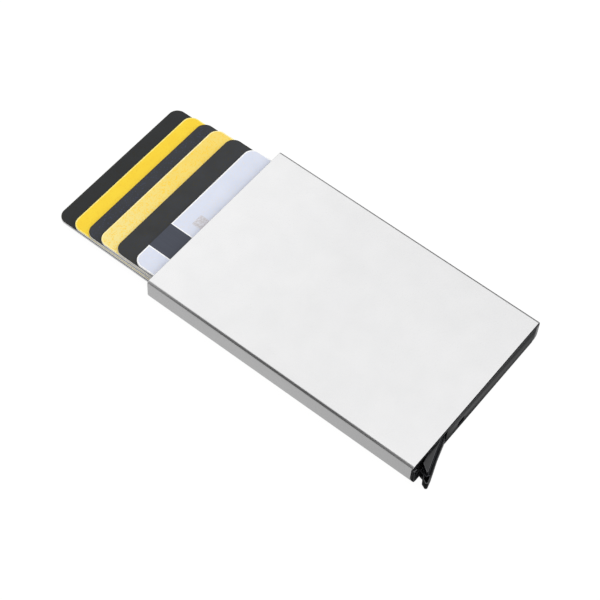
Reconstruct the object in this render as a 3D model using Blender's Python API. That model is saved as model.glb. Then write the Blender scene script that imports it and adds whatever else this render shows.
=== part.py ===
"""Pop-up card case: an aluminium sleeve, an eject lever in a moulded end cap, and six cards.

The sleeve lies on its broad face. The origin is the centre of its bottom face, +Z is up,
+Y points out of the card mouth and the lever sits at the -X, -Y corner. The model stands
with the lever swung out and the cards fanned. The closed case is the other end of travel.
"""
import math

import bmesh
import bpy
from mathutils import Matrix, Vector

MM = 0.001

# Sleeve: a flat tube of extruded aluminium, open at both ends
SLEEVE_WIDTH = 61.0 * MM
SLEEVE_LENGTH = 94.0 * MM
SLEEVE_THICKNESS = 8.2 * MM
SIDE_WALL = 1.4 * MM
BROAD_WALL = 1.1 * MM
TOP_EDGE_RADIUS = 1.05 * MM
BOTTOM_EDGE_RADIUS = 2.0 * MM
CAVITY_RADIUS = 0.4 * MM

# Cards: ID-1 format, stacked with a little air between them
CARD_LENGTH = 85.6 * MM
CARD_WIDTH = 53.98 * MM
CARD_THICKNESS = 0.76 * MM
CARD_CORNER = 3.18 * MM
CARD_PITCH = 0.81 * MM
CARD_FLOOR = 1.54 * MM
CARD_HOME_EDGE = 45.0 * MM  # outer edge of every card in the closed case
CARD_TRAVELS = (39.8 * MM, 34.3 * MM, 29.0 * MM, 24.2 * MM, 17.9 * MM, 10.7 * MM)
CARD_SHIFTS = (-0.2 * MM, -0.1 * MM, 0.0, 0.05 * MM, 0.1 * MM, 0.19 * MM)

# Contact plate of a chip, let into the upper face near a card's inner end
CHIP_LENGTH = 11.8 * MM
CHIP_WIDTH = 13.0 * MM
CHIP_INSET = 16.0 * MM
CHIP_SHIFT = -4.0 * MM
CHIP_POCKET = 0.3 * MM
CHIP_THICKNESS = 0.2 * MM
CHIP_GAP = 0.15 * MM

# Printed layers of the top card, measured in from its lever-side long edge
STRIPE_NEAR = 7.0 * MM
STRIPE_WIDTH = 10.4 * MM
PANEL_NEAR = 20.9 * MM
PANEL_WIDTH = 4.2 * MM
PANEL_LENGTH = 58.0 * MM
PANEL_FROM_EDGE = 4.7 * MM
LAYER_POCKET = 0.16 * MM
LAYER_THICKNESS = 0.12 * MM
LAYER_GAP = 0.05 * MM

# Lever: it turns on the pin between the two ears of the end cap
PIVOT_IN = 10.0 * MM  # in from the lever-side face of the sleeve
PIVOT_UP = 3.5 * MM  # in from the lever end of the sleeve
LEVER_SWING = 10.0  # degrees between closed and swung out
HUB_RADIUS = 2.3 * MM
HUB_LOW = 2.4 * MM
HUB_HIGH = 5.8 * MM
TAB_LOW = 1.35 * MM
LIP_HIGH = 4.4 * MM
LIP_SLOPE = 0.1 * MM
TAB_HIGH = 6.6 * MM
TIP_POCKET_LOW = 1.95 * MM
ARM_LENGTH = 46.0 * MM
ARM_STEP = 6.0 * MM
ARM_LOW = 1.4 * MM
ARM_DEEP_FROM = 11.5 * MM
ARM_MOUTH_SIDE = 2.5 * MM
ARM_END_SIDE = 2.0 * MM
ARM_TAPER_FROM = 14.0 * MM
ARM_SHOULDER = 11.0 * MM
ARM_NOSE_RADIUS = 1.2 * MM
ARM_CLEARANCE = 0.02 * MM  # each step stops this much below the card above it
WEB_CORNERS = ((-5.2, -3.3), (4.7, -3.3), (2.0, 1.0), (-2.0, 1.0))  # mm from the pivot
PIN_RADIUS = 0.75 * MM
PIN_HOLE_IN_LEVER = 1.05 * MM
PIN_HOLE_IN_EAR = 0.9 * MM

# End cap, with places across the case measured in from its lever-side face
PLATE_THICKNESS = 1.2 * MM
PLATE_GAP = 0.2 * MM  # between the plate and the broad walls
PLATE_FAR = 59.3 * MM
FLANGE_NEAR = 2.2 * MM
FLANGE_FAR = 58.7 * MM
SLOT_END = 16.0 * MM
PILLAR_WIDTH = 1.25 * MM
PILLAR_OUT = 0.5 * MM
PILLAR_IN = 0.3 * MM
FOOT_HEIGHT = 1.1 * MM
FOOT_FAR = 5.4 * MM
FOOT_STEP = 0.1 * MM  # the pillar's foot stands this much lower than the flange behind it
FACE_SET_UP = 0.06 * MM  # the end face stands this much clear of the surface under the case
EAR_THICKNESS = 0.75 * MM
EAR_GAP = 0.05 * MM
EAR_ROOT_NEAR = SLOT_END - 0.2 * MM
EAR_ROOT_FAR = 20.8 * MM
EAR_ROOT_DEPTH = 0.4 * MM
TANG_NEAR = 57.3 * MM
TANG_FAR = 59.25 * MM
TANG_START = 0.9 * MM
TANG_END = 6.0 * MM
TANG_GAP = 0.2 * MM
NOTCH_NEAR = 21.7 * MM
NOTCH_FAR = 24.5 * MM
NOTCH_LOW = 1.25 * MM
NOTCH_HIGH = 4.1 * MM
NOTCH_DEPTH = 0.7 * MM

# Cutbacks that let the end cap show at the sleeve's lever end
BOTTOM_CUT_NEAR = 1.9 * MM
BOTTOM_CUT_FAR = 59.0 * MM
SIDE_CUT_FAR = 2.2 * MM
SIDE_CUT_GAP = 0.25 * MM
CUT_THROUGH = 0.5 * MM
CUT_INTO_TOP = 0.15 * MM

# Liners inside the sleeve
RAIL_THICKNESS = 1.4 * MM
RAIL_GAP = 0.2 * MM
RAIL_START = 9.0 * MM
RAIL_END = 93.3 * MM
PAD_POCKET = 0.6 * MM
PAD_THICKNESS = 0.66 * MM
PAD_MARGIN = 4.0 * MM
PAD_HEIGHT = 3.4 * MM
PAD_SIDE_GAP = 0.2 * MM
PAD_GLUE_GAP = 0.08 * MM
FELT_LENGTH = 50.0 * MM
FELT_DEPTH = 5.0 * MM
FELT_SETBACK = 0.4 * MM
FELT_THICKNESS = 0.5 * MM
FELT_WALL_GAP = 0.1 * MM
FELT_CARD_GAP = 0.07 * MM

FIT_GAP = 0.3 * MM
REACH = 2.0 * MM  # how far a cutter passes beyond the face that it opens

MATERIALS = {
    "anodised_aluminium": ((0.83, 0.84, 0.86), 0.33, 1.0),
    "black_nylon": ((0.028, 0.029, 0.033), 0.42, 0.0),
    "pin_steel": ((0.62, 0.62, 0.64), 0.25, 1.0),
    "liner_plastic": ((0.05, 0.05, 0.055), 0.5, 0.0),
    "foam": ((0.09, 0.09, 0.1), 0.95, 0.0),
    "felt": ((0.04, 0.04, 0.05), 1.0, 0.0),
    "black_card": ((0.032, 0.033, 0.035), 0.4, 0.0),
    "yellow_card": ((0.91, 0.65, 0.03), 0.38, 0.0),
    "slate_card": ((0.05, 0.052, 0.058), 0.4, 0.0),
    "gold_card": ((0.85, 0.64, 0.17), 0.35, 0.3),
    "charcoal_card": ((0.045, 0.047, 0.05), 0.4, 0.0),
    "white_card": ((0.74, 0.77, 0.86), 0.35, 0.0),
    "stripe_tape": ((0.08, 0.09, 0.12), 0.3, 0.0),
    "signature_film": ((0.62, 0.61, 0.62), 0.6, 0.0),
    "contact_gold": ((0.83, 0.66, 0.3), 0.3, 1.0),
}
CARD_FINISHES = (
    "black_card",
    "yellow_card",
    "slate_card",
    "gold_card",
    "charcoal_card",
    "white_card",
)

PLAN = Matrix.Identity(4)
END_VIEW = Matrix.Rotation(math.radians(90.0), 4, "X")


def clear_scene():
    for item in list(bpy.data.objects):
        bpy.data.objects.remove(item, do_unlink=True)


def new_collection(name):
    collection = bpy.data.collections.new(name)
    bpy.context.scene.collection.children.link(collection)
    return collection


def new_material(name):
    colour, roughness, metallic = MATERIALS[name]
    material = bpy.data.materials.get(name) or bpy.data.materials.new(name)
    material.use_nodes = True
    shader = material.node_tree.nodes["Principled BSDF"]
    shader.inputs["Base Color"].default_value = (*colour, 1.0)
    shader.inputs["Roughness"].default_value = roughness
    shader.inputs["Metallic"].default_value = metallic
    return material


# ---- outlines and solids -------------------------------------------------------------


def arc(centre, radius, start, end, steps):
    """Points along an arc, angles in degrees, both ends included."""
    angles = [math.radians(start + (end - start) * i / steps) for i in range(steps + 1)]
    return [(centre[0] + radius * math.cos(a), centre[1] + radius * math.sin(a)) for a in angles]


def rounded_outline(low, high, low_radius, high_radius, steps=6):
    """A rectangle with one radius on its two low corners and another on its two high ones."""
    left, bottom = low
    right, top = high
    outline = arc((right - high_radius, top - high_radius), high_radius, 0, 90, steps)
    outline += arc((left + high_radius, top - high_radius), high_radius, 90, 180, steps)
    outline += arc((left + low_radius, bottom + low_radius), low_radius, 180, 270, steps)
    outline += arc((right - low_radius, bottom + low_radius), low_radius, 270, 360, steps)
    return outline


def extrude(name, outlines, low, high, view=PLAN):
    """A solid whose filled outlines run from low to high along the view's own Z.

    In PLAN an outline is (x, y) and the solid rises along +Z. In END_VIEW an outline is
    (x, z) and low and high are measured along -Y.
    """
    curve = bpy.data.curves.new(name, "CURVE")
    curve.dimensions = "2D"
    curve.fill_mode = "BOTH"
    curve.extrude = (high - low) / 2
    for outline in outlines:
        spline = curve.splines.new("POLY")
        spline.points.add(len(outline) - 1)
        for point, place in zip(spline.points, outline):
            point.co = (*place, 0.0, 1.0)
        spline.use_cyclic_u = True
    holder = bpy.data.objects.new(name + "_outline", curve)
    bpy.context.scene.collection.objects.link(holder)
    evaluated = holder.evaluated_get(bpy.context.evaluated_depsgraph_get())
    mesh = bpy.data.meshes.new_from_object(evaluated)
    bpy.data.objects.remove(holder, do_unlink=True)
    bpy.data.curves.remove(curve)
    shape = bmesh.new()
    shape.from_mesh(mesh)
    bmesh.ops.remove_doubles(shape, verts=shape.verts, dist=0.001 * MM)
    shape.transform(view @ Matrix.Translation((0.0, 0.0, (low + high) / 2)))
    bmesh.ops.recalc_face_normals(shape, faces=shape.faces)
    shape.to_mesh(mesh)
    shape.free()
    mesh.name = name
    return bpy.data.objects.new(name, mesh)


def box(name, low, high):
    """A box between two corners, with its origin at its own centre."""
    low, high = Vector(low), Vector(high)
    shape = bmesh.new()
    bmesh.ops.create_cube(shape, size=1.0)
    bmesh.ops.scale(shape, vec=high - low, verts=shape.verts)
    mesh = bpy.data.meshes.new(name)
    shape.to_mesh(mesh)
    shape.free()
    piece = bpy.data.objects.new(name, mesh)
    piece.location = (low + high) / 2
    return piece


def rod(name, centre, radius, low, high, sides=24):
    """An upright cylinder with its origin at its own centre."""
    shape = bmesh.new()
    bmesh.ops.create_cone(
        shape,
        cap_ends=True,
        segments=sides,
        radius1=radius,
        radius2=radius,
        depth=high - low,
    )
    mesh = bpy.data.meshes.new(name)
    shape.to_mesh(mesh)
    shape.free()
    mesh.shade_smooth()
    mesh.set_sharp_from_angle(angle=math.radians(40.0))
    piece = bpy.data.objects.new(name, mesh)
    piece.location = (centre[0], centre[1], (low + high) / 2)
    return piece


def loft(name, rings):
    """A closed solid through rings of equal point counts, each an (outline, height) pair."""
    shape = bmesh.new()
    loops = [[shape.verts.new((x, y, z)) for x, y in outline] for outline, z in rings]
    for lower, upper in zip(loops, loops[1:]):
        for i in range(len(lower)):
            j = (i + 1) % len(lower)
            shape.faces.new((lower[i], lower[j], upper[j], upper[i]))
    shape.faces.new(reversed(loops[0]))
    shape.faces.new(loops[-1])
    bmesh.ops.triangulate(shape, faces=shape.faces)
    bmesh.ops.recalc_face_normals(shape, faces=shape.faces)
    mesh = bpy.data.meshes.new(name)
    shape.to_mesh(mesh)
    shape.free()
    return bpy.data.objects.new(name, mesh)


class Workshop:
    """Puts finished pieces in one collection and their cutters and joined shapes in another."""

    def __init__(self):
        self.pieces = new_collection("pop_up_card_case")
        self.tools = new_collection("cutters")

    def add(self, piece, finish, parent=None):
        piece.data.materials.clear()
        piece.data.materials.append(new_material(finish))
        self.pieces.objects.link(piece)
        piece.parent = parent
        return piece

    def work(self, piece, operation, tool):
        tool.parent = piece.parent
        tool.hide_render = True
        tool.display_type = "WIRE"
        self.tools.objects.link(tool)
        modifier = piece.modifiers.new(tool.name, "BOOLEAN")
        modifier.operation = operation
        modifier.solver = "EXACT"
        modifier.object = tool

    def cut(self, piece, tool):
        self.work(piece, "DIFFERENCE", tool)

    def join(self, piece, tool):
        self.work(piece, "UNION", tool)

    def keep_common(self, piece, tool):
        self.work(piece, "INTERSECT", tool)


# ---- places --------------------------------------------------------------------------

LEVER_SIDE = -SLEEVE_WIDTH / 2
LEVER_END = -SLEEVE_LENGTH / 2
CAVITY_LOW = BROAD_WALL
CAVITY_HIGH = SLEEVE_THICKNESS - BROAD_WALL
PIVOT = (LEVER_SIDE + PIVOT_IN, LEVER_END + PIVOT_UP)


def across(distance):
    """X at a distance in from the lever-side face of the sleeve."""
    return LEVER_SIDE + distance


def along(distance):
    """Y at a distance in from the lever end of the sleeve."""
    return LEVER_END + distance


def card_bottom(number):
    """Height of the lower face of a card, counted from 1 at the bottom of the stack."""
    return CARD_FLOOR + (number - 1) * CARD_PITCH


# ---- sleeve and end cap --------------------------------------------------------------


def build_sleeve(shop):
    """The tube, with its bottom and lever-side walls cut back for the end cap."""
    outer = rounded_outline(
        (LEVER_SIDE, 0.0),
        (-LEVER_SIDE, SLEEVE_THICKNESS),
        BOTTOM_EDGE_RADIUS,
        TOP_EDGE_RADIUS,
    )
    inner = rounded_outline(
        (LEVER_SIDE + SIDE_WALL, CAVITY_LOW),
        (-LEVER_SIDE - SIDE_WALL, CAVITY_HIGH),
        CAVITY_RADIUS,
        CAVITY_RADIUS,
        steps=3,
    )
    sleeve = extrude(
        "sleeve_shell",
        (outer, inner),
        -SLEEVE_LENGTH / 2,
        SLEEVE_LENGTH / 2,
        END_VIEW,
    )
    shop.add(sleeve, "anodised_aluminium")
    bottom_cut = box(
        "bottom_wall_cutback",
        (across(BOTTOM_CUT_NEAR), along(-REACH), -REACH),
        (across(BOTTOM_CUT_FAR), along(PLATE_THICKNESS + FIT_GAP), CAVITY_LOW + CUT_THROUGH),
    )
    shop.cut(sleeve, bottom_cut)
    side_cut = box(
        "side_wall_cutback",
        (across(-REACH), along(-REACH), -REACH),
        (across(SIDE_CUT_FAR), along(PILLAR_IN + SIDE_CUT_GAP), CAVITY_HIGH + CUT_INTO_TOP),
    )
    shop.cut(sleeve, side_cut)
    return sleeve


def ear_outline():
    """One pivot ear seen from above: a round eye with an arm back to the end plate."""
    slope = math.radians(LEVER_SWING)
    foot_x = across(EAR_ROOT_NEAR)
    far_x = across(EAR_ROOT_FAR)
    start_x = PIVOT[0] + HUB_RADIUS * math.sin(slope)
    start_y = PIVOT[1] - HUB_RADIUS * math.cos(slope)
    outline = arc(PIVOT, HUB_RADIUS, 90, 270 + LEVER_SWING, 10)
    outline.append((foot_x, start_y + (foot_x - start_x) * math.tan(slope)))
    outline.append((foot_x, along(EAR_ROOT_DEPTH)))
    outline.append((far_x, along(EAR_ROOT_DEPTH)))
    outline.append((far_x, PIVOT[1] + HUB_RADIUS))
    return outline


def build_end_cap(shop):
    """The moulding that closes the lever end, with the slot, the pillar and the two ears."""
    plate_low = CAVITY_LOW + PLATE_GAP
    plate_high = CAVITY_HIGH - PLATE_GAP
    face = [
        (across(FLANGE_NEAR), FACE_SET_UP),
        (across(FLANGE_FAR), FACE_SET_UP),
        (across(FLANGE_FAR), plate_low),
        (across(PLATE_FAR), plate_low),
        (across(PLATE_FAR), plate_high),
        (across(SLOT_END), plate_high),
        (across(SLOT_END), FOOT_HEIGHT),
        (across(FLANGE_NEAR), FOOT_HEIGHT),
    ]
    cap = extrude("end_cap", (face,), -along(PLATE_THICKNESS), -along(0.0), END_VIEW)
    shop.add(cap, "black_nylon")

    corner = (across(BOTTOM_EDGE_RADIUS), BOTTOM_EDGE_RADIUS)
    foot_top = FOOT_HEIGHT - FOOT_STEP
    pillar = [(across(0.0), plate_high)]
    pillar += arc(corner, BOTTOM_EDGE_RADIUS, 180, 270, 6)
    pillar += [
        (across(FOOT_FAR), 0.0),
        (across(FOOT_FAR), foot_top),
        (across(PILLAR_WIDTH), foot_top),
        (across(PILLAR_WIDTH), plate_high),
    ]
    shop.join(cap, extrude("cap_pillar", (pillar,), -along(PILLAR_IN), -along(-PILLAR_OUT), END_VIEW))

    ear = ear_outline()
    low_ear = plate_low + EAR_GAP
    high_ear = plate_high - EAR_GAP
    shop.join(cap, extrude("cap_lower_ear", (ear,), low_ear, low_ear + EAR_THICKNESS))
    shop.join(cap, extrude("cap_upper_ear", (ear,), high_ear - EAR_THICKNESS, high_ear))
    tang = box(
        "cap_far_tang",
        (across(TANG_NEAR), along(TANG_START), plate_low + TANG_GAP),
        (across(TANG_FAR), along(TANG_END), plate_high - TANG_GAP),
    )
    shop.join(cap, tang)
    shop.cut(cap, rod("ear_pin_hole", PIVOT, PIN_HOLE_IN_EAR, CAVITY_LOW, CAVITY_HIGH))
    notch = box(
        "release_notch_cutter",
        (across(NOTCH_NEAR), along(-REACH), NOTCH_LOW),
        (across(NOTCH_FAR), along(NOTCH_DEPTH), NOTCH_HIGH),
    )
    shop.cut(cap, notch)
    return cap


def build_pin(shop):
    pin = rod("pivot_pin", PIVOT, PIN_RADIUS, CAVITY_LOW + 0.3 * MM, CAVITY_HIGH - 0.3 * MM)
    return shop.add(pin, "pin_steel")


# ---- lever ---------------------------------------------------------------------------


def tab_ring(left_side, nose, nose_radius, nose_start, outer_side):
    """One level of the finger tab seen from above, measured from the pivot in millimetres."""
    points = [*left_side, *arc(nose, nose_radius, nose_start, 277, 8), *outer_side]
    return [(x * MM, y * MM) for x, y in points]


def build_tab():
    """The finger tab outside the case: an upright wedge standing on a wider, thinner lip."""
    lip = tab_ring(
        ((-8.1, -3.0), (-8.6, -4.15), (-9.9, -4.65)),
        (-10.15, -5.95),
        0.57,
        165,
        ((-7.9, -6.33), (-5.2, -5.85), (-1.5, -5.22), (3.9, -4.62), (4.9, -4.2), (5.1, -3.0)),
    )
    base = tab_ring(
        ((-6.7, -3.0), (-7.3, -3.65), (-7.85, -4.2)),
        (-8.3, -5.0),
        0.35,
        170,
        ((-6.0, -5.02), (-3.3, -4.68), (-0.8, -4.33), (1.9, -4.08), (4.1, -3.7), (5.0, -3.0)),
    )
    top = tab_ring(
        ((-6.6, -3.0), (-7.2, -3.6), (-7.75, -4.15)),
        (-8.25, -4.95),
        0.3,
        170,
        ((-6.0, -4.9), (-3.3, -4.55), (-0.8, -4.2), (1.8, -3.95), (4.0, -3.6), (4.95, -3.0)),
    )
    rings = ((lip, TAB_LOW), (lip, LIP_HIGH), (base, LIP_HIGH + LIP_SLOPE), (top, TAB_HIGH))
    return loft("eject_lever", rings)


def tip_pocket():
    """The moulding recess in the lip's tip, open at the top, seen from above."""
    outline = [(-8.35, -4.36), (-9.8, -4.88), *arc((-10.12, -5.88), 0.34, 165, 275, 5)]
    outline += [(-8.2, -6.0), (-8.2, -5.52), (-8.62, -5.37), (-8.8, -5.0), (-8.62, -4.72)]
    return [(x * MM, y * MM) for x, y in outline]


def arm_steps():
    """The ejector arm seen from the lever end: one step for each card, the lowest furthest out."""
    outline = [(0.0, HUB_LOW), (ARM_DEEP_FROM, HUB_LOW), (ARM_DEEP_FROM, ARM_LOW)]
    for number in range(1, 7):
        reach = ARM_LENGTH - (number - 1) * ARM_STEP
        low = ARM_LOW if number == 1 else card_bottom(number) - ARM_CLEARANCE
        outline.append((reach, low))
        outline.append((reach, card_bottom(number + 1) - ARM_CLEARANCE))
    outline += [
        (ARM_DEEP_FROM, card_bottom(7) - ARM_CLEARANCE),
        (ARM_DEEP_FROM, HUB_HIGH),
        (0.0, HUB_HIGH),
    ]
    return outline


def arm_plan():
    """The ejector arm seen from above: a blade that tapers to a round nose."""
    outline = [(-0.2 * MM, -ARM_END_SIDE), (ARM_TAPER_FROM, -ARM_END_SIDE)]
    outline.append((ARM_LENGTH - 0.5 * MM, 0.3 * MM))
    nose = (ARM_LENGTH - ARM_NOSE_RADIUS, ARM_MOUTH_SIDE - ARM_NOSE_RADIUS)
    outline += arc(nose, ARM_NOSE_RADIUS, 0, 90, 5)
    outline += [(ARM_SHOULDER, ARM_MOUTH_SIDE), (-0.2 * MM, 2.2 * MM)]
    return outline


def build_lever(shop):
    """Tab, hub and stepped arm in one moulding, drawn closed about the pivot and swung out."""
    lever = build_tab()
    shop.add(lever, "black_nylon")
    pocket = extrude("lever_tip_pocket", (tip_pocket(),), TIP_POCKET_LOW, LIP_HIGH + REACH)
    shop.cut(lever, pocket)
    web = [(x * MM, y * MM) for x, y in WEB_CORNERS]
    arm = extrude("lever_arm", (arm_steps(),), -4.0 * MM, 4.0 * MM, END_VIEW)
    arm_limit = extrude("lever_arm_limit", (arm_plan(),), 0.0, SLEEVE_THICKNESS)
    shop.keep_common(arm, arm_limit)
    hub = extrude("lever_hub", (arc((0.0, 0.0), HUB_RADIUS, 0, 348.75, 31),), HUB_LOW, HUB_HIGH)
    hole = rod("lever_pin_hole", (0.0, 0.0), PIN_HOLE_IN_LEVER, 0.0, SLEEVE_THICKNESS)
    shop.join(lever, hub)
    shop.join(lever, extrude("lever_web", (web,), HUB_LOW, HUB_HIGH))
    shop.join(lever, arm)
    shop.cut(lever, hole)
    pivot = bpy.data.objects.new("lever_pivot", None)
    pivot.location = (*PIVOT, 0.0)
    pivot.rotation_euler = (0.0, 0.0, math.radians(LEVER_SWING))
    shop.tools.objects.link(pivot)
    for shape in (lever, hub, arm, arm_limit, hole, pocket, bpy.data.objects["lever_web"]):
        shape.parent = pivot
    return lever


# ---- liners --------------------------------------------------------------------------


def build_liner(shop, side, label):
    """One side rail with its foam strip. side is -1 at the lever side and +1 at the far side."""
    wall = side * (SLEEVE_WIDTH / 2 - SIDE_WALL - RAIL_GAP)
    face = wall - side * RAIL_THICKNESS
    low, high = CAVITY_LOW + FIT_GAP, CAVITY_HIGH - FIT_GAP
    rail = box(
        "side_rail_" + label,
        (min(wall, face), along(RAIL_START), low),
        (max(wall, face), along(RAIL_END), high),
    )
    shop.add(rail, "liner_plastic")
    middle = (low + high) / 2
    start, end = along(RAIL_START + PAD_MARGIN), along(RAIL_END - PAD_MARGIN)
    floor = face + side * PAD_POCKET
    beyond = face - side * REACH
    pocket = box(
        "pad_pocket_" + label,
        (min(floor, beyond), start, middle - PAD_HEIGHT / 2),
        (max(floor, beyond), end, middle + PAD_HEIGHT / 2),
    )
    shop.cut(rail, pocket)
    back = floor - side * PAD_GLUE_GAP
    front = back - side * PAD_THICKNESS
    pad = box(
        "side_pad_" + label,
        (min(back, front), start + FIT_GAP, middle - PAD_HEIGHT / 2 + PAD_SIDE_GAP),
        (max(back, front), end - FIT_GAP, middle + PAD_HEIGHT / 2 - PAD_SIDE_GAP),
    )
    shop.add(pad, "foam")


def build_felts(shop):
    """Thin felt wipers glued inside the two broad walls, just behind the mouth."""
    front = along(SLEEVE_LENGTH - FELT_SETBACK)
    upper = CAVITY_HIGH - FELT_WALL_GAP
    strips = (
        ("mouth_felt_upper", upper - FELT_THICKNESS, upper),
        ("mouth_felt_lower", CAVITY_LOW + FELT_CARD_GAP, CARD_FLOOR - FELT_CARD_GAP),
    )
    for name, low, high in strips:
        felt = box(
            name,
            (-FELT_LENGTH / 2, front - FELT_DEPTH, low),
            (FELT_LENGTH / 2, front, high),
        )
        shop.add(felt, "felt")


# ---- cards ---------------------------------------------------------------------------


def build_card(shop, number):
    """A card with its origin at the middle of its lower face, standing in the fan."""
    half_width, half_length = CARD_WIDTH / 2, CARD_LENGTH / 2
    outline = rounded_outline(
        (-half_width, -half_length),
        (half_width, half_length),
        CARD_CORNER,
        CARD_CORNER,
        steps=8,
    )
    card = extrude(f"card_{number}", (outline,), 0.0, CARD_THICKNESS)
    card.location = (
        CARD_SHIFTS[number - 1],
        CARD_HOME_EDGE + CARD_TRAVELS[number - 1] - half_length,
        card_bottom(number),
    )
    return shop.add(card, CARD_FINISHES[number - 1])


def let_in(shop, card, name, finish, low, high, pocket_depth, thickness, gap):
    """A thin plate in a shallow pocket in a card's upper face, moving with the card."""
    floor = CARD_THICKNESS - pocket_depth
    pocket = box(
        name + "_pocket",
        (low[0] - gap, low[1] - gap, floor),
        (high[0] + gap, high[1] + gap, CARD_THICKNESS + REACH),
    )
    shop.cut(card, pocket)
    pocket.parent = card
    bottom = floor + (pocket_depth - thickness) / 2
    plate = box(name, (*low, bottom), (*high, bottom + thickness))
    shop.add(plate, finish, parent=card)


def build_chip(shop, card, number):
    centre_y = -CARD_LENGTH / 2 + CHIP_INSET
    low = (CHIP_SHIFT - CHIP_WIDTH / 2, centre_y - CHIP_LENGTH / 2)
    high = (CHIP_SHIFT + CHIP_WIDTH / 2, centre_y + CHIP_LENGTH / 2)
    name = f"card_{number}_chip_plate"
    let_in(shop, card, name, "contact_gold", low, high, CHIP_POCKET, CHIP_THICKNESS, CHIP_GAP)


def build_back_print(shop, card):
    """The magnetic stripe and the signature panel on the upturned back of the top card."""
    edge = -CARD_WIDTH / 2
    low = (edge + STRIPE_NEAR, -CARD_LENGTH / 2)
    high = (edge + STRIPE_NEAR + STRIPE_WIDTH, CARD_LENGTH / 2)
    layer = (LAYER_POCKET, LAYER_THICKNESS, LAYER_GAP)
    let_in(shop, card, "card_6_magnetic_stripe", "stripe_tape", low, high, *layer)
    panel_end = CARD_LENGTH / 2 - PANEL_FROM_EDGE
    low = (edge + PANEL_NEAR, panel_end - PANEL_LENGTH)
    high = (edge + PANEL_NEAR + PANEL_WIDTH, panel_end)
    let_in(shop, card, "card_6_signature_panel", "signature_film", low, high, *layer)


def main():
    clear_scene()
    shop = Workshop()
    build_sleeve(shop)
    build_end_cap(shop)
    build_pin(shop)
    build_lever(shop)
    build_liner(shop, -1, "near")
    build_liner(shop, 1, "far")
    build_felts(shop)
    for number in range(1, 7):
        card = build_card(shop, number)
        if number < 6:
            build_chip(shop, card, number)
        else:
            build_back_print(shop, card)


main()
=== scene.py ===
"""Looks for the pop-up card case: fine meshes, procedural materials, light and camera.

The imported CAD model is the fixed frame. +Y points out of the card mouth, +Z is up and the
lever is at the -X, -Y corner. The plain numbers given to Look's methods, soften() and Skin,
and the camera's lens and sensor, are in millimetres. Every other length is in metres.
"""

import math
from collections import namedtuple

import bmesh
import bpy
from mathutils import Matrix, Vector, noise


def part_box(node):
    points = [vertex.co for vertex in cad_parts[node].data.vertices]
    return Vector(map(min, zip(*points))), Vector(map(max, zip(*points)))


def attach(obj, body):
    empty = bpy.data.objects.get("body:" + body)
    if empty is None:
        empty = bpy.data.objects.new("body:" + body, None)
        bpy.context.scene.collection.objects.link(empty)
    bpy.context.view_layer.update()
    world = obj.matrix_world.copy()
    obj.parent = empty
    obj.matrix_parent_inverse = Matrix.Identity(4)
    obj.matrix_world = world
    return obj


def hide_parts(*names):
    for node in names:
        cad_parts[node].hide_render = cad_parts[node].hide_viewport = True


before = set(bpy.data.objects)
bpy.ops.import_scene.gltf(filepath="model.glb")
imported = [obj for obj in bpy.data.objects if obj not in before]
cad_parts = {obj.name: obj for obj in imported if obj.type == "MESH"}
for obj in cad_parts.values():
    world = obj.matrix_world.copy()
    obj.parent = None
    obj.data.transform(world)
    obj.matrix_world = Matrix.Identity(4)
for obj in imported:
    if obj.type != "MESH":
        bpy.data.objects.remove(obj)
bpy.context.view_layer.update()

MM = 0.001
WHITE = (1.0, 1.0, 1.0)


def srgb(red, green, blue):
    """A display colour, 0 to 255, as linear values for a shader."""
    values = [channel / 255.0 for channel in (red, green, blue)]
    return tuple(v / 12.92 if v <= 0.04045 else ((v + 0.055) / 1.055) ** 2.4 for v in values)


# ---- shader building -----------------------------------------------------------------

# Cosines of the angle between a face's own normal and the normal rounded over its edges.
ON_FLAT = 0.995
ON_EDGE = 0.86


class Nodes:
    """Short ways to add and link shader nodes in one node tree."""

    def __init__(self, tree):
        self.tree = tree

    def add(self, kind, **settings):
        node = self.tree.nodes.new(kind)
        for key, value in settings.items():
            setattr(node, key, value)
        return node

    def join(self, value, socket):
        """Sets a socket to a number or colour, or links another socket to it."""
        if isinstance(value, bpy.types.NodeSocket):
            self.tree.links.new(value, socket)
        elif isinstance(value, tuple) and len(value) == 3 and socket.type == "RGBA":
            socket.default_value = (*value, 1.0)
        else:
            socket.default_value = value

    def axes(self, vector):
        """The x, y and z sockets of a vector socket."""
        split = self.add("ShaderNodeSeparateXYZ")
        self.join(vector, split.inputs["Vector"])
        return split.outputs

    def remap(self, value, low, high, to_low=0.0, to_high=1.0):
        node = self.add("ShaderNodeMapRange")
        self.join(value, node.inputs["Value"])
        for socket, number in zip(node.inputs[1:5], (low, high, to_low, to_high)):
            self.join(number, socket)
        return node.outputs["Result"]

    def math(self, operation, first, second=0.0):
        node = self.add("ShaderNodeMath", operation=operation)
        self.join(first, node.inputs[0])
        self.join(second, node.inputs[1])
        return node.outputs[0]

    def times(self, first, *factors):
        for factor in factors:
            first = self.math("MULTIPLY", first, factor)
        return first

    def distance(self, value, centre):
        """How far a value is from centre, without its sign."""
        return self.math("ABSOLUTE", self.math("SUBTRACT", value, centre))

    def mix(self, amount, first, second):
        node = self.add("ShaderNodeMix", data_type="RGBA")
        self.join(amount, node.inputs["Factor"])
        self.join(first, node.inputs["A"])
        self.join(second, node.inputs["B"])
        return node.outputs["Result"]

    def is_camera_ray(self):
        return self.add("ShaderNodeLightPath").outputs["Is Camera Ray"]


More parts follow.
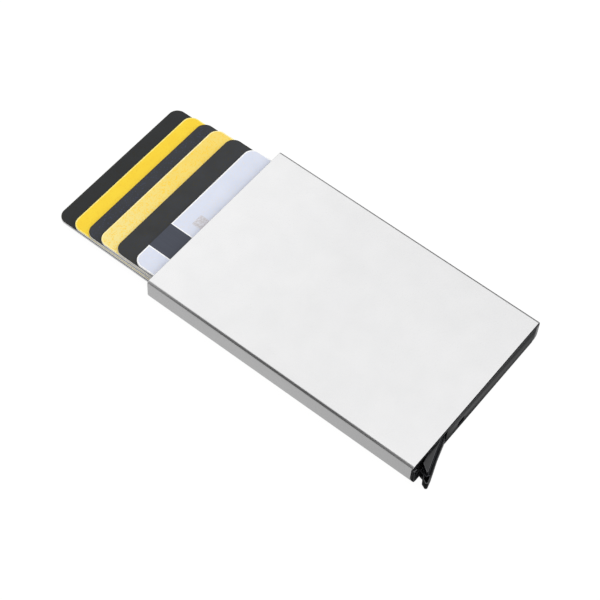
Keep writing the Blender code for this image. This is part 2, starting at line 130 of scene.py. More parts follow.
class Look(Nodes):
    """One procedural material, built around a Principled shader on object coordinates."""

    def __init__(self, name):
        self.material = bpy.data.materials.new(name)
        self.material.use_nodes = True
        super().__init__(self.material.node_tree)
        self.shader = self.tree.nodes["Principled BSDF"]
        self.place = self.add("ShaderNodeTexCoord").outputs["Object"]

    def stretched(self, scale):
        """Object coordinates, scaled by a different factor along each axis."""
        mapping = self.add("ShaderNodeMapping")
        self.join(self.place, mapping.inputs["Vector"])
        mapping.inputs["Scale"].default_value = scale
        return mapping.outputs["Vector"]

    def noise(self, size, detail=3.0, roughness=0.55, stretch=(1.0, 1.0, 1.0)):
        """Noise whose blotches are about size millimetres across."""
        node = self.add("ShaderNodeTexNoise")
        scale = tuple(factor / (size * MM) for factor in stretch)
        self.join(self.stretched(scale), node.inputs["Vector"])
        node.inputs["Scale"].default_value = 1.0
        node.inputs["Detail"].default_value = detail
        node.inputs["Roughness"].default_value = roughness
        return node.outputs["Fac"]

    def specks(self, size):
        """Small cells, each with its own random value."""
        node = self.add("ShaderNodeTexVoronoi", feature="F1")
        self.join(self.stretched((1.0 / (size * MM),) * 3), node.inputs["Vector"])
        node.inputs["Scale"].default_value = 1.0
        split = self.add("ShaderNodeSeparateColor")
        self.join(node.outputs["Color"], split.inputs["Color"])
        return split.outputs["Red"]

    def true_normal(self):
        return self.add("ShaderNodeNewGeometry").outputs["Normal"]

    def edges(self, radius):
        """1 on convex edges and corners, fading to 0 within radius millimetres of them."""
        bevel = self.add("ShaderNodeBevel", samples=6)
        bevel.inputs["Radius"].default_value = radius * MM
        dot = self.add("ShaderNodeVectorMath", operation="DOT_PRODUCT")
        self.join(bevel.outputs["Normal"], dot.inputs[0])
        self.join(self.true_normal(), dot.inputs[1])
        return self.remap(dot.outputs["Value"], ON_FLAT, ON_EDGE)

    def open_sky(self, reach, own_shape_only=False):
        """1 in the open, falling towards 0 in recesses narrower than reach millimetres."""
        node = self.add("ShaderNodeAmbientOcclusion", samples=8, only_local=own_shape_only)
        node.inputs["Distance"].default_value = reach * MM
        return node.outputs["AO"]

    def facing_up(self, low, high, to_low, to_high):
        """Steps from to_low to to_high as a face turns from low to high upward tilt."""
        upward = self.axes(self.true_normal())["Z"]
        return self.remap(upward, low, high, to_low, to_high)

    def bump(self, height, depth, normal=None):
        """A bump whose full height is depth millimetres."""
        node = self.add("ShaderNodeBump")
        node.inputs["Strength"].default_value = 1.0
        node.inputs["Distance"].default_value = depth * MM
        self.join(height, node.inputs["Height"])
        if normal is not None:
            self.join(normal, node.inputs["Normal"])
        return node.outputs["Normal"]

    def finish(self, colour, roughness, normal, metallic=0.0, specular=0.5, sheen=0.0):
        """Sets up the shader; normal is None for a surface with no relief."""
        self.join(colour, self.shader.inputs["Base Color"])
        self.join(roughness, self.shader.inputs["Roughness"])
        self.join(metallic, self.shader.inputs["Metallic"])
        self.join(specular, self.shader.inputs["Specular IOR Level"])
        self.join(sheen, self.shader.inputs["Sheen Weight"])
        if normal is not None:
            self.join(normal, self.shader.inputs["Normal"])
        return self.material

    def emission(self, strength):
        """A white emission shader, in place of the Principled one."""
        shader = self.add("ShaderNodeEmission")
        self.join(WHITE, shader.inputs["Color"])
        self.join(strength, shader.inputs["Strength"])
        return shader.outputs[0]


# ---- metals --------------------------------------------------------------------------


def anodised_aluminium():
    """Satin clear-anodised aluminium: bead-blasted grain, faint drawing lines, brighter edges."""
    look = Look("satin_anodised_aluminium")
    cloud = look.noise(9.0, detail=2.0)
    grain = look.noise(0.16, detail=2.0, roughness=0.7)
    lines = look.noise(0.35, detail=2.0, stretch=(1.0, 0.03, 1.0))
    pale_edges = look.edges(0.35)
    tone = look.mix(look.remap(cloud, 0.3, 0.7), (0.592, 0.592, 0.595), (0.612, 0.611, 0.614))
    tone = look.mix(look.times(pale_edges, 0.3), tone, (0.72, 0.72, 0.725))
    rough = look.remap(grain, 0.25, 0.75, 0.26, 0.32)
    rough = look.math("SUBTRACT", rough, look.times(pale_edges, 0.12))
    relief = look.bump(grain, 0.0035)
    relief = look.bump(lines, 0.002, relief)
    return look.finish(tone, rough, relief, metallic=1.0)


def shaded_sawn_metal():
    """A sawn aluminium end: rougher than the faces, with fine saw lines, and about half their tone as
    painted shade.
    """
    look = Look("sawn_aluminium_end_painted_shade")
    lines = look.noise(0.1, detail=3.0, stretch=(0.2, 1.0, 1.0))
    # Painted shade: the tone is about half that of the aluminium faces.
    tone = look.mix(look.remap(lines, 0.3, 0.7), (0.25, 0.25, 0.252), (0.33, 0.33, 0.333))
    rough = look.remap(lines, 0.3, 0.7, 0.38, 0.5)
    return look.finish(tone, rough, look.bump(lines, 0.003), metallic=1.0)


def painted_shadow_edge():
    """The cut end of the upper wall, painted near black as the shadow along its joint with the end cap,
    with a few paler metal specks.
    """
    look = Look("cut_edge_painted_shadow")
    patchiness = look.noise(0.25, detail=4.0)
    # Painted shadow: near black, with a few paler specks.
    tone = look.mix(look.remap(patchiness, 0.62, 0.8), (0.006, 0.006, 0.007), (0.12, 0.12, 0.13))
    rough = look.remap(patchiness, 0.3, 0.7, 0.4, 0.6)
    return look.finish(tone, rough, look.bump(patchiness, 0.004), specular=0.2)


def pin_steel():
    """Ground steel, with fine turning rings around the pin's axis."""
    look = Look("ground_steel")
    rings = look.noise(0.12, detail=2.0, stretch=(0.05, 0.05, 1.0))
    tone = look.mix(rings, (0.5, 0.5, 0.52), (0.64, 0.64, 0.66))
    rough = look.remap(rings, 0.3, 0.7, 0.18, 0.32)
    return look.finish(tone, rough, look.bump(rings, 0.002), metallic=1.0)


def contact_gold():
    """Gold-plated contact foil, slightly uneven."""
    look = Look("contact_foil")
    cloud = look.noise(2.0)
    tone = look.mix(cloud, (0.78, 0.58, 0.22), (0.88, 0.7, 0.34))
    rough = look.remap(look.noise(0.3), 0.3, 0.7, 0.2, 0.34)
    return look.finish(tone, rough, look.bump(look.noise(0.25), 0.003), metallic=1.0)


# ---- plastics, foam and felt ---------------------------------------------------------


def moulded_nylon():
    """Black nylon moulding: fine spark-eroded texture, greyer on rubbed edges, most of all on upward
    ones.

    The grey edges are rubbing wear and, on upward edges, a painted highlight; the gloss is cut in
    recesses and on side faces as painted shade.
    """
    look = Look("black_moulded_nylon")
    cloud = look.noise(3.0)
    texture = look.noise(0.12, detail=4.0, roughness=0.65)
    pale_edges = look.times(look.edges(0.38), look.remap(cloud, 0.25, 0.7, 0.45, 1.0))
    # Painted highlight: the paler edge tone is kept mostly on upward-facing edges, where light from
    # above falls.
    pale_edges = look.times(pale_edges, look.facing_up(0.4, 0.9, 0.1, 1.0))
    tone = look.mix(look.remap(cloud, 0.3, 0.7), (0.004, 0.0042, 0.005), (0.007, 0.0074, 0.009))
    tone = look.mix(look.times(pale_edges, 0.65), tone, (0.19, 0.195, 0.215))
    rough = look.remap(texture, 0.3, 0.7, 0.24, 0.34)
    # Painted shade: the gloss is cut by ambient occlusion in recesses, and side faces keep far less of
    # it than top faces.
    own_shape = look.open_sky(3.0, own_shape_only=True)
    side_gloss_shaded = look.remap(own_shape, 0.8, 0.98, 0.0, 0.04)
    side_gloss_shaded = look.times(side_gloss_shaded, look.remap(look.open_sky(6.0), 0.7, 1.0, 0.15, 1.0))
    top_gloss_shaded = look.remap(own_shape, 0.78, 0.97, 0.0, 0.5)
    top_gloss_shaded = look.times(top_gloss_shaded, look.remap(look.open_sky(2.5), 0.3, 0.7))
    gloss = look.facing_up(0.2, 0.8, side_gloss_shaded, top_gloss_shaded)
    return look.finish(tone, rough, look.bump(texture, 0.005), specular=gloss)


def liner_plastic():
    """Dark grey moulded plastic, a little paler along its edges."""
    look = Look("dark_liner_plastic")
    cloud = look.noise(2.5)
    texture = look.noise(0.2, detail=3.0)
    pale_edges = look.edges(0.2)
    tone = look.mix(look.remap(cloud, 0.3, 0.7), (0.03, 0.031, 0.034), (0.045, 0.046, 0.05))
    tone = look.mix(look.times(pale_edges, 0.4), tone, (0.1, 0.1, 0.11))
    rough = look.remap(texture, 0.3, 0.7, 0.42, 0.58)
    return look.finish(tone, rough, look.bump(texture, 0.008))


def foam_rubber():
    """Closed-cell foam: small dark pores in a dull skin."""
    look = Look("closed_cell_foam")
    pores = look.specks(0.22)
    cloud = look.noise(1.5)
    tone = look.mix(look.remap(pores, 0.1, 0.6), (0.025, 0.025, 0.027), (0.07, 0.07, 0.075))
    tone = look.mix(look.times(cloud, 0.4), tone, (0.1, 0.1, 0.105))
    return look.finish(tone, 0.92, look.bump(pores, 0.05), specular=0.2)


def pressed_felt():
    """Pressed black felt: tangled fibres with a little sheen."""
    look = Look("pressed_felt")
    fibres = look.noise(0.12, detail=6.0, roughness=0.75, stretch=(0.35, 1.0, 1.0))
    tufts = look.noise(0.6)
    tone = look.mix(look.remap(fibres, 0.35, 0.65), (0.012, 0.012, 0.013), (0.06, 0.06, 0.065))
    tone = look.mix(look.times(tufts, 0.3), tone, (0.08, 0.08, 0.085))
    return look.finish(tone, 0.95, look.bump(fibres, 0.06), specular=0.1, sheen=0.4)


# ---- card surfaces -------------------------------------------------------------------

# Width of the painted white highlight line along each long edge of the tape.
TAPE_HIGHLIGHT_WIDTH = 0.32 * MM
FLECK_SIZE = 0.3
FLECK_AMOUNT = 0.75
PRINT_ROUGHNESS = (0.38, 0.46)
FADE_START = 8.0 * MM
FADE_END = -27.0 * MM


def card_print(name, tones, fleck, fleck_share, specular, fade=None):
    """Printed and laminated card face.

    tones are two close colours that drift across the card, fleck is the colour of fine
    specks that cover about fleck_share of it, and fade is a colour reached at the -X side.
    """
    look = Look(name)
    cloud = look.noise(6.0, detail=2.0)
    orange_peel = look.noise(0.5, detail=2.0)
    tone = look.mix(look.remap(cloud, 0.3, 0.7), *tones)
    if fade is not None:
        across = look.remap(look.axes(look.place)["X"], FADE_START, FADE_END)
        tone = look.mix(across, tone, fade)
    chosen = look.math("GREATER_THAN", look.specks(FLECK_SIZE), 1.0 - fleck_share)
    tone = look.mix(look.times(chosen, FLECK_AMOUNT), tone, fleck)
    rough = look.remap(look.noise(0.8), 0.3, 0.7, *PRINT_ROUGHNESS)
    return look.finish(tone, rough, look.bump(orange_peel, 0.0015), specular=specular)


def card_edge_highlight_and_shade(name, tone, patch_tone):
    """The narrow band along a card's rounded edge: a painted highlight on the pale cards and a painted
    dark line on the dark ones.
    """
    look = Look(name)
    patchiness = look.noise(1.2, detail=4.0)
    # Painted light and shade: a paler band on pale cards, a darker band on dark cards, patchy along its
    # length.
    colour = look.mix(look.remap(patchiness, 0.42, 0.75), tone, patch_tone)
    return look.finish(colour, look.remap(patchiness, 0.3, 0.7, 0.34, 0.5), None, specular=0.3)


def card_core(name):
    """The cut side of a laminated card: pale core sheets between two thin overlay films."""
    look = Look(name)
    sheet = srgb(250, 250, 250)
    film = srgb(214, 214, 215)
    layers = look.noise(0.09, detail=2.0, stretch=(0.02, 0.02, 1.0))
    grime = look.noise(2.0)
    colour = look.mix(look.remap(layers, 0.35, 0.65), film, sheet)
    colour = look.mix(look.times(grime, 0.25), colour, film)
    return look.finish(colour, 0.6, look.bump(layers, 0.004), specular=0.25)


def magnetic_tape():
    """Dark tape, finely streaked along its length, with a painted white highlight line along each long
    edge.
    """
    look = Look("magnetic_tape")
    low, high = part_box("card_6_magnetic_stripe")
    from_middle = look.distance(look.axes(look.place)["X"], (low.x + high.x) / 2)
    # Painted highlight: a white line along each long edge of the tape.
    edge_highlight = look.math("GREATER_THAN", from_middle, (high.x - low.x) / 2 - TAPE_HIGHLIGHT_WIDTH)
    streaks = look.noise(0.5, stretch=(1.0, 0.04, 1.0))
    tone = look.mix(look.remap(streaks, 0.3, 0.7), srgb(60, 64, 76), srgb(64, 68, 80))
    tone = look.mix(edge_highlight, tone, srgb(252, 252, 252))
    rough = look.remap(streaks, 0.3, 0.7, 0.28, 0.4)
    return look.finish(tone, rough, look.bump(streaks, 0.001), specular=0.25)


def signature_film():
    """Matt writing panel with a fine woven security tint."""
    look = Look("signature_film")
    weave = look.specks(0.28)
    tone = look.mix(look.remap(weave, 0.2, 0.8), srgb(196, 192, 194), srgb(216, 216, 224))
    return look.finish(tone, 0.75, look.bump(weave, 0.003), specular=0.2)


# ---- meshes --------------------------------------------------------------------------

WELD_DISTANCE = 0.002 * MM
FLAT_ANGLE = math.radians(1.0)
HARD_ANGLE = math.radians(30.0)


def arc(centre, radius, start, end, steps):
    """Points along an arc, angles in degrees, both ends included."""
    angles = [math.radians(start + (end - start) * i / steps) for i in range(steps + 1)]
    return [(centre[0] + radius * math.cos(a), centre[1] + radius * math.sin(a)) for a in angles]


def rounded_outline(low, high, low_radius, high_radius, steps):
    """A rectangle with one radius on its two low corners and another on its two high ones."""
    left, bottom = low
    right, top = high
    outline = arc((right - high_radius, top - high_radius), high_radius, 0, 90, steps)
    outline += arc((left + high_radius, top - high_radius), high_radius, 90, 180, steps)
    outline += arc((left + low_radius, bottom + low_radius), low_radius, 180, 270, steps)
    outline += arc((right - low_radius, bottom + low_radius), low_radius, 270, 360, steps)
    return outline


def new_block(low, high):
    """A bmesh box between two corners."""
    low, high = Vector(low), Vector(high)
    shape = bmesh.new()
    bmesh.ops.create_cube(shape, size=1.0)
    bmesh.ops.scale(shape, vec=high - low, verts=shape.verts)
    bmesh.ops.translate(shape, vec=(low + high) / 2, verts=shape.verts)
    return shape


def new_piece(name, shape, materials):
    """A smooth-shaded object from a bmesh, which is used up."""
    bmesh.ops.recalc_face_normals(shape, faces=shape.faces)
    mesh = bpy.data.meshes.new(name)
    shape.to_mesh(mesh)
    shape.free()
    for material in materials:
        mesh.materials.append(material)
    mesh.shade_smooth()
    piece = bpy.data.objects.new(name, mesh)
    bpy.context.scene.collection.objects.link(piece)
    return piece


def bridge(shape, first, second, material_index=0):
    """A band of quads between two closed loops of equal length."""
    count = len(first)
    for i in range(count):
        j = (i + 1) % count
        face = shape.faces.new((first[i], first[j], second[j], second[i]))
        face.material_index = material_index


def put_in_place(piece, body, node, sharp_angle):
    """Ties a piece to its body and hides its CAD node; edges over sharp_angle degrees stay sharp."""
    piece.data.set_sharp_from_angle(angle=math.radians(sharp_angle))
    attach(piece, body)
    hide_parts(node)


def soften(piece, width):
    """Rounds a CAD node's hard edges, after its flat faces have been cleaned of triangles."""
    weld = piece.modifiers.new("weld", "WELD")
    weld.merge_threshold = WELD_DISTANCE
    flats = piece.modifiers.new("flats", "DECIMATE")
    flats.decimate_type = "DISSOLVE"
    flats.angle_limit = FLAT_ANGLE
    bevel = piece.modifiers.new("round_edges", "BEVEL")
    bevel.width = width * MM
    bevel.segments = 2
    bevel.limit_method = "ANGLE"
    bevel.angle_limit = HARD_ANGLE
    bevel.harden_normals = True
    piece.data.shade_smooth()


def paint(piece, material):
    piece.data.materials.clear()
    piece.data.materials.append(material)


# ---- the sleeve ----------------------------------------------------------------------

TOP_RADIUS = 1.05 * MM
BOTTOM_RADIUS = 2.0 * MM
SIDE_WALL = 1.4 * MM
BROAD_WALL = 1.1 * MM
CAVITY_RADIUS = 0.4 * MM
CORNER_STEPS = 14

LEVER_END_RIM = 0.38 * MM
MOUTH_RIM = 0.28 * MM
INNER_RIM = 0.15 * MM
SAME_PLACE = 0.001 * MM

CUT_REACH = 2.0 * MM  # how far a cutting box stands outside the sleeve
BOTTOM_CUTBACK = 1.22 * MM
BOTTOM_CUT_NEAR = 1.9 * MM
BOTTOM_CUT_FAR = 2.0 * MM
BOTTOM_CUT_RISE = 0.5 * MM
SIDE_CUTBACK = 0.55 * MM
SIDE_CUT_WIDTH = 2.2 * MM
SIDE_CUT_RISE = 0.15 * MM

FACES_LEVER_END = -0.4  # y of the normal of a face that is seen as part of the cut end


def subtract(piece, low, high):
    """Cuts the box between two corners out of piece."""
    tool = new_piece("cutting_box", new_block(low, high), [])
    modifier = piece.modifiers.new("cut", "BOOLEAN")
    modifier.operation = "DIFFERENCE"
    modifier.solver = "EXACT"
    modifier.object = tool
    evaluated = piece.evaluated_get(bpy.context.evaluated_depsgraph_get())
    mesh = bpy.data.meshes.new_from_object(evaluated)
    piece.modifiers.remove(modifier)
    piece.data = mesh
    bpy.data.objects.remove(tool, do_unlink=True)


def sleeve_tube(low, high):
    """The tube as a bmesh, with its end rims rounded."""
    outer = rounded_outline((low.x, low.z), (high.x, high.z), BOTTOM_RADIUS, TOP_RADIUS, CORNER_STEPS)
    inner = rounded_outline(
        (low.x + SIDE_WALL, low.z + BROAD_WALL),
        (high.x - SIDE_WALL, high.z - BROAD_WALL),
        CAVITY_RADIUS,
        CAVITY_RADIUS,
        CORNER_STEPS,
    )
    shape = bmesh.new()
    ends = []
    for y in (low.y, high.y):
        ends.append([[shape.verts.new((x, y, z)) for x, z in ring] for ring in (outer, inner)])
    (outer_low, inner_low), (outer_high, inner_high) = ends
    bridge(shape, outer_low, outer_high)
    bridge(shape, inner_low, inner_high)
    bridge(shape, outer_low, inner_low)
    bridge(shape, outer_high, inner_high)
    shape.edges.ensure_lookup_table()
    widths = (
        ((outer_low,), LEVER_END_RIM),
        ((outer_high,), MOUTH_RIM),
        ((inner_low, inner_high), INNER_RIM),
    )
    for loops, width in widths:
        verts = {vertex for loop in loops for vertex in loop}
        rims = [
            edge
            for edge in shape.edges
            if edge.verts[0] in verts
            and edge.verts[1] in verts
            and abs(edge.verts[0].co.y - edge.verts[1].co.y) < SAME_PLACE
        ]
        bmesh.ops.bevel(shape, geom=rims, offset=width, segments=4, profile=0.5, affect="EDGES")
    return shape


def build_sleeve():
    """The tube with finely rounded long edges and softly rounded rims at both ends.

    Its bottom and near walls are cut back at the lever end. The cut end of the upper wall,
    above the end cap, is painted near black as shadow, and the other faces of the cut lever
    end get a darker metal as painted shade.
    """
    low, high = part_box("sleeve_shell")
    materials = [anodised_aluminium(), painted_shadow_edge(), shaded_sawn_metal()]
    shadowed_upper_end, shaded_other_ends = 1, 2
    sleeve = new_piece("sleeve", sleeve_tube(low, high), materials)
    subtract(
        sleeve,
        (low.x + BOTTOM_CUT_NEAR, low.y - CUT_REACH, -CUT_REACH),
        (high.x - BOTTOM_CUT_FAR, low.y + BOTTOM_CUTBACK, low.z + BROAD_WALL + BOTTOM_CUT_RISE),
    )
    subtract(
        sleeve,
        (low.x - CUT_REACH, low.y - CUT_REACH, -CUT_REACH),
        (low.x + SIDE_CUT_WIDTH, low.y + SIDE_CUTBACK, high.z - BROAD_WALL + SIDE_CUT_RISE),
    )
    # Painted shade: lever-end faces above the cap get the near-black edge, other lever-end faces the
    # darker sawn metal.
    for face in sleeve.data.polygons:
        centre = face.center
        if centre.y >= low.y + LEVER_END_RIM:
            continue
        faces_end = face.normal.y < FACES_LEVER_END
        above_cap = centre.z > high.z - BROAD_WALL - INNER_RIM and centre.x < high.x - SIDE_WALL / 2
        below_rim = centre.z <= high.z - LEVER_END_RIM
        if above_cap and (faces_end or below_rim):
            face.material_index = shadowed_upper_end
        elif faces_end:
            face.material_index = shaded_other_ends
    put_in_place(sleeve, "case_body", "sleeve_shell", 35.0)


# ---- cards ---------------------------------------------------------------------------

CARD_CORNER = 3.18 * MM
CARD_CORNER_STEPS = 16
# Width of the band of painted edge highlight and shade on each card face.
RIM_WIDTH = 0.4 * MM
EDGE_ROUND = 0.07 * MM

TAPE_STAND = 0.012 * MM
TAPE_THICKNESS = 0.03 * MM
TAPE_EDGE = 0.006 * MM

DARK_GLOSS = 0.18
PALE_GLOSS = 0.3

# The edge-band tones are painted: a highlight along the pale cards' edges and a dark line along the
# dark cards' edges.
CardPrint = namedtuple("CardPrint", "name tones fleck fleck_share rim worn_rim gloss fade")

# From the lowest card, which stands out furthest, to the top one.
CARDS = (
    CardPrint(
        "black", (srgb(33, 35, 36), srgb(37, 39, 40)), srgb(36, 33, 22), 0.10,
        srgb(24, 22, 14), srgb(34, 33, 28), DARK_GLOSS, None,
    ),
    CardPrint(
        "yellow", (srgb(242, 203, 34), srgb(244, 210, 42)), srgb(238, 198, 34), 0.10,
        srgb(248, 226, 100), srgb(250, 235, 150), PALE_GLOSS, None,
    ),
    CardPrint(
        "slate", (srgb(46, 48, 52), srgb(51, 53, 58)), srgb(56, 62, 84), 0.10,
        srgb(28, 27, 20), srgb(44, 44, 40), DARK_GLOSS, None,
    ),
    CardPrint(
        "gold", (srgb(240, 210, 98), srgb(242, 214, 108)), srgb(246, 202, 40), 0.22,
        srgb(250, 230, 145), srgb(252, 242, 200), PALE_GLOSS, srgb(241, 222, 142),
    ),
    CardPrint(
        "charcoal", (srgb(47, 48, 49), srgb(51, 53, 57)), srgb(56, 52, 32), 0.08,
        srgb(28, 27, 20), srgb(44, 44, 40), DARK_GLOSS, None,
    ),
    CardPrint(
        "white", (srgb(211, 217, 233), srgb(216, 221, 236)), srgb(220, 218, 222), 0.12,
        srgb(246, 246, 246), srgb(250, 250, 250), PALE_GLOSS, None,
    ),
)


def card_materials(card):
    """The face, the painted edge band of highlight and shade, and the cut side of one card."""
    prefix = card.name + "_card_"
    face = card_print(prefix + "print", card.tones, card.fleck, card.fleck_share, card.gloss, card.fade)
    return [face, card_edge_highlight_and_shade(prefix + "rim", card.rim, card.worn_rim), card_core(prefix + "core")]


def build_card(number, card):
    """A card with rounded edges: face, painted edge band and cut side each have their own material."""
    low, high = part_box(f"card_{number}")

    def ring(inset, height):
        outline = rounded_outline(
            (low.x + inset, low.y + inset),
            (high.x - inset, high.y - inset),
            CARD_CORNER - inset,
            CARD_CORNER - inset,
            CARD_CORNER_STEPS,
        )
        return [shape.verts.new((x, y, height)) for x, y in outline]

    face, rim, core = 0, 1, 2
    shape = bmesh.new()
    half_round = EDGE_ROUND * (1 - math.sqrt(0.5))
    loops = [
        (ring(RIM_WIDTH, low.z), rim),
        (ring(EDGE_ROUND, low.z), core),
        (ring(half_round, low.z + half_round), core),
        (ring(0.0, low.z + EDGE_ROUND), core),
        (ring(0.0, high.z - EDGE_ROUND), core),
        (ring(half_round, high.z - half_round), rim),
        (ring(EDGE_ROUND, high.z), rim),
        (ring(RIM_WIDTH, high.z), face),
    ]
    for (first, band), (second, _) in zip(loops, loops[1:]):
        bridge(shape, first, second, band)
    for loop in (loops[0][0], loops[-1][0]):
        shape.faces.new(loop).material_index = face
    piece = new_piece(f"card_{number}_body", shape, card_materials(card))
    put_in_place(piece, f"card_{number}_body", f"card_{number}", 60.0)


def build_tape(name, material):
    """A printed or laminated strip standing a hair above the face of the top card."""
    node = "card_6_" + name
    low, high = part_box(node)
    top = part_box("card_6")[1].z + TAPE_STAND
    shape = new_block((low.x, low.y, top - TAPE_THICKNESS), (high.x, high.y, top))
    bmesh.ops.bevel(shape, geom=shape.edges[:], offset=TAPE_EDGE, segments=2, affect="EDGES")
    put_in_place(new_piece(name, shape, [material]), "card_6_body", node, 40.0)


# ---- soft strips ---------------------------------------------------------------------

SLICE = 0.8 * MM
CORNER_ANGLE = 1.0  # radians
LUMP_SHIFT = 0.6  # keeps the lumps, which run from -1 to 1, mostly inside the CAD solid

# Edge radius, lump height and lump size in millimetres.
Skin = namedtuple("Skin", "edge lump lump_size")
FOAM_SKIN = Skin(0.2, 0.05, 1.2)
UPPER_FELT_SKIN = Skin(0.14, 0.04, 0.4)
LOWER_FELT_SKIN = Skin(0.08, 0.03, 0.4)


def build_soft_strip(name, node, material, skin):
    """A soft strip in its CAD solid's place: rounded all round, with a slightly uneven skin."""
    low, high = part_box(node)
    size = high - low
    shape = new_block(low, high)
    longest = max(range(3), key=lambda axis: size[axis])
    slices = int(size[longest] / SLICE)
    for i in range(1, slices):
        point = low.copy()
        point[longest] += size[longest] * i / slices
        normal = Vector((0.0, 0.0, 0.0))
        normal[longest] = 1.0
        geometry = shape.verts[:] + shape.edges[:] + shape.faces[:]
        bmesh.ops.bisect_plane(shape, geom=geometry, plane_co=point, plane_no=normal)
    corners = [e for e in shape.edges if len(e.link_faces) == 2 and e.calc_face_angle() > CORNER_ANGLE]
    bmesh.ops.bevel(shape, geom=corners, offset=skin.edge * MM, segments=3, profile=0.5, affect="EDGES")
    bmesh.ops.recalc_face_normals(shape, faces=shape.faces)
    shape.normal_update()
    for vertex in shape.verts:
        push = noise.noise(vertex.co / (skin.lump_size * MM))
        vertex.co += vertex.normal * (push - LUMP_SHIFT) * skin.lump * MM
    put_in_place(new_piece(name, shape, [material]), "case_body", node, 60.0)


# ---- light, floor and camera ---------------------------------------------------------

# Each ramp is a start, an end, and the strengths at the two. The sky's ramps run over the
# components of a unit direction, and its dark strip's sizes are in that direction's y.
SKY_STRENGTH = 1.40
HORIZON_RAMP = (0.02, 0.30, 0.05, 1.0)
NEAR_SIDE_RAMP = (-0.27, 0.10, 0.04, 1.0)
FAR_SIDE_RAMP = (0.86, 0.70, 0.06, 1.0)
CAMERA_SIDE = (-0.826, -0.564)  # the level direction towards the camera
CAMERA_SIDE_RAMP = (-0.30, 0.0, 1.0, 1.31)
MOUTH_SIDE_RAMP = (0.34, 0.95, 1.01, 1.24)
STRIP_MIDDLE = 0.25
STRIP_HALF_WIDTH = 0.27
STRIP_FADED = 0.40
BESIDE_STRIP = 0.6

FLOOR_SIZE = 6.0
FLOOR_DROP = 0.02 * MM
FLOOR_LENGTH_RAMP = (-60.0 * MM, 0.0, 0.60, 0.67)
FLOOR_WIDTH_RAMP = (75.0 * MM, 180.0 * MM, 1.0, 0.3)
FLOOR_GLOW = 0.96
FLOOR_TONE = (0.07, 0.07, 0.07)

CAMERA_AZIMUTH = -55.601
CAMERA_ELEVATION = 56.811
CAMERA_ROLL = 4.572
CAMERA_DISTANCE = 0.527087
CAMERA_TARGET = Vector((-5.223, 11.356, 4.0)) * MM
CAMERA_LENS = 110.82
SENSOR_WIDTH = 36.0
CLIP_START = 0.01


def build_world():
    """A soft box overhead, brighter on the camera's side and beyond the mouth.

    Over the near long side, and low over the far one, it has a dark strip and is dimmer beside
    the strip. The strip makes the dark lines along the long edges. The camera sees plain white.
    """
    world = bpy.data.worlds.new("studio")
    bpy.context.scene.world = world
    world.use_nodes = True
    nodes = Nodes(world.node_tree)
    x, y, z = nodes.axes(nodes.add("ShaderNodeTexCoord").outputs["Generated"])
    horizon = nodes.remap(z, *HORIZON_RAMP)
    in_strip = nodes.times(nodes.remap(x, *NEAR_SIDE_RAMP), nodes.remap(x, *FAR_SIDE_RAMP))
    from_middle = nodes.distance(y, STRIP_MIDDLE)
    sides = nodes.remap(from_middle, STRIP_HALF_WIDTH, STRIP_FADED, in_strip, BESIDE_STRIP)
    sides = nodes.math("MAXIMUM", sides, in_strip)
    across, along = CAMERA_SIDE
    camera_side = nodes.math("ADD", nodes.times(x, across), nodes.times(y, along))
    camera_side = nodes.remap(camera_side, *CAMERA_SIDE_RAMP)
    mouth_side = nodes.remap(y, *MOUTH_SIDE_RAMP)
    strength = nodes.times(sides, horizon, camera_side, mouth_side, SKY_STRENGTH)
    seen = nodes.mix(nodes.is_camera_ray(), strength, WHITE)
    nodes.join(seen, world.node_tree.nodes["Background"].inputs["Color"])


def build_floor():
    """A pale seamless floor: white to the camera, a soft mid grey in reflections."""
    bpy.ops.mesh.primitive_plane_add(size=FLOOR_SIZE, location=(0.0, 0.0, -FLOOR_DROP))
    floor = bpy.context.object
    floor.name = "floor"
    look = Look("seamless_white")
    x, y, _ = look.axes(look.place)
    reflected = look.times(
        look.remap(y, *FLOOR_LENGTH_RAMP),
        look.remap(look.math("ABSOLUTE", x), *FLOOR_WIDTH_RAMP),
    )
    shadowed = look.add("ShaderNodeBsdfDiffuse")
    look.join(FLOOR_TONE, shadowed.inputs["Color"])
    seen = look.add("ShaderNodeAddShader")
    look.join(look.emission(FLOOR_GLOW), seen.inputs[0])
    look.join(shadowed.outputs[0], seen.inputs[1])
    choose = look.add("ShaderNodeMixShader")
    look.join(look.is_camera_ray(), choose.inputs["Fac"])
    look.join(look.emission(reflected), choose.inputs[1])
    look.join(seen.outputs[0], choose.inputs[2])
    look.join(choose.outputs[0], look.tree.nodes["Material Output"].inputs["Surface"])
    floor.data.materials.append(look.material)


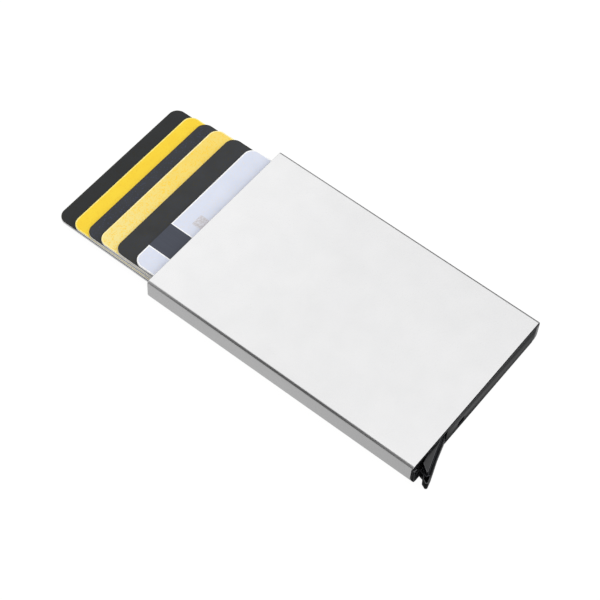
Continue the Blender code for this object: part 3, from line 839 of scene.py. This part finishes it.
def build_camera():
    """The camera at the photograph's angle."""
    azimuth = math.radians(CAMERA_AZIMUTH)
    elevation = math.radians(CAMERA_ELEVATION)
    back = Vector(
        (
            math.sin(azimuth) * math.cos(elevation),
            -math.cos(azimuth) * math.cos(elevation),
            math.sin(elevation),
        )
    )
    level = Vector((math.cos(azimuth), math.sin(azimuth), 0.0))
    upright = back.cross(level)
    roll = math.radians(CAMERA_ROLL)
    right = math.cos(roll) * level + math.sin(roll) * upright
    up = math.cos(roll) * upright - math.sin(roll) * level
    data = bpy.data.cameras.new("camera")
    data.sensor_width = SENSOR_WIDTH
    data.lens = CAMERA_LENS
    data.clip_start = CLIP_START
    camera = bpy.data.objects.new("camera", data)
    place = Matrix((right, up, back)).transposed().to_4x4()
    place.translation = CAMERA_TARGET + back * CAMERA_DISTANCE
    camera.matrix_world = place
    bpy.context.scene.collection.objects.link(camera)
    bpy.context.scene.camera = camera


# ---- putting it together -------------------------------------------------------------


def finish_cad_nodes():
    """Paints and rounds the CAD nodes that are shown as they are."""
    nylon = moulded_nylon()
    liner = liner_plastic()
    gold = contact_gold()
    finishes = [
        ("end_cap", nylon, 0.12),
        ("eject_lever", nylon, 0.15),
        ("pivot_pin", pin_steel(), 0.1),
        ("side_rail_near", liner, 0.15),
        ("side_rail_far", liner, 0.15),
    ]
    finishes += [(f"card_{number}_chip_plate", gold, 0.04) for number in range(1, 6)]
    for node, material, width in finishes:
        paint(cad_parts[node], material)
        soften(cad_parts[node], width)


def main():
    build_sleeve()
    finish_cad_nodes()
    for number, card in enumerate(CARDS, start=1):
        build_card(number, card)
    build_tape("magnetic_stripe", magnetic_tape())
    build_tape("signature_panel", signature_film())
    foam = foam_rubber()
    for label in ("near", "far"):
        build_soft_strip("foam_strip_" + label, "side_pad_" + label, foam, FOAM_SKIN)
    felt = pressed_felt()
    build_soft_strip("felt_upper", "mouth_felt_upper", felt, UPPER_FELT_SKIN)
    build_soft_strip("felt_lower", "mouth_felt_lower", felt, LOWER_FELT_SKIN)
    build_world()
    build_floor()
    build_camera()
    bpy.context.scene.view_settings.view_transform = "Standard"
    bpy.context.scene.view_settings.look = "None"


main()
